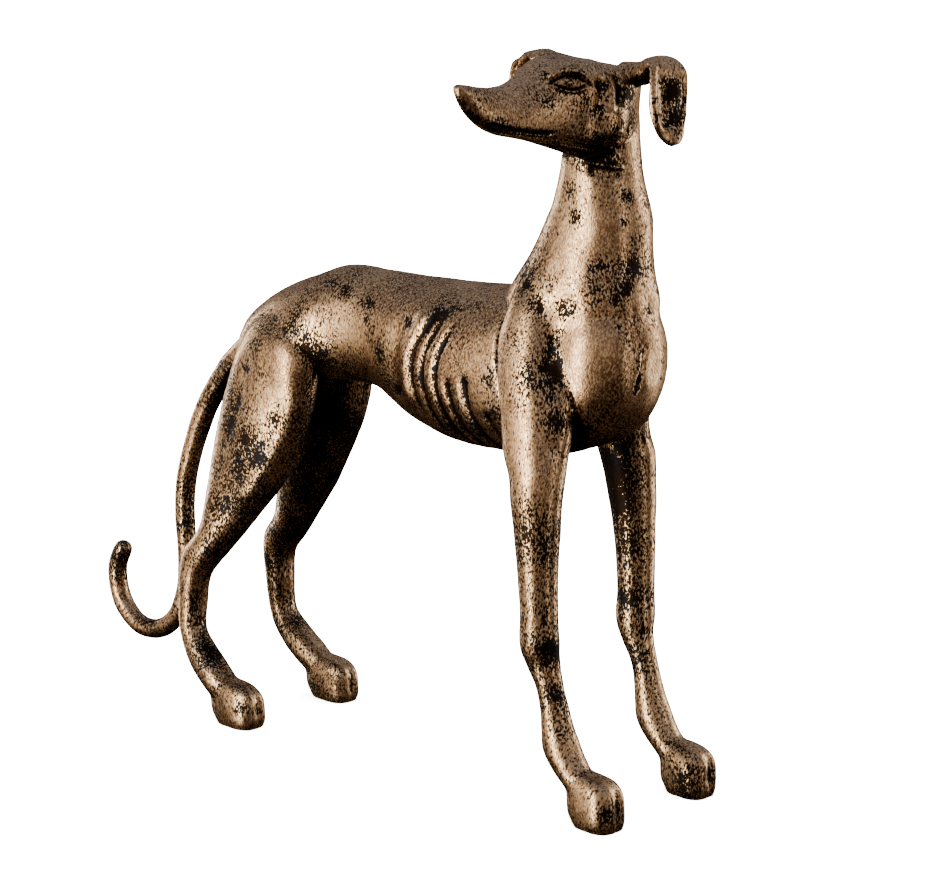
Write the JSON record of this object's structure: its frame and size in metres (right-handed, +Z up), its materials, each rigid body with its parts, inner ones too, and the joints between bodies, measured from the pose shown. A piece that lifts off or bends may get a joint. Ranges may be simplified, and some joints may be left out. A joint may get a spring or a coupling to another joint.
{
  "type": "greyhound sculpture",
  "caption": "Standing greyhound sculpture in antiqued cast brass, head turned to its right, drop ears standing out, visible ribs and a hooked tail, resting on its own level paws.",
  "frame": {"origin": "on the ground, under the middle of the whole figure's bounding box", "axes": "+X the way the body faces, +Y to the dog's left, +Z up; the head is turned to look along -Y"},
  "size_m": [0.6934, 0.2398, 0.6],
  "materials": {
    "antiqued_brass": "antiqued cast brass, pitted and hand-worked, rubbed bright on the high places, with near-black patina in the hollows and in scattered patches"
  },
  "bodies": {
    "root": {"greyhound": "antiqued_brass"}
  },
  "joints": []
}
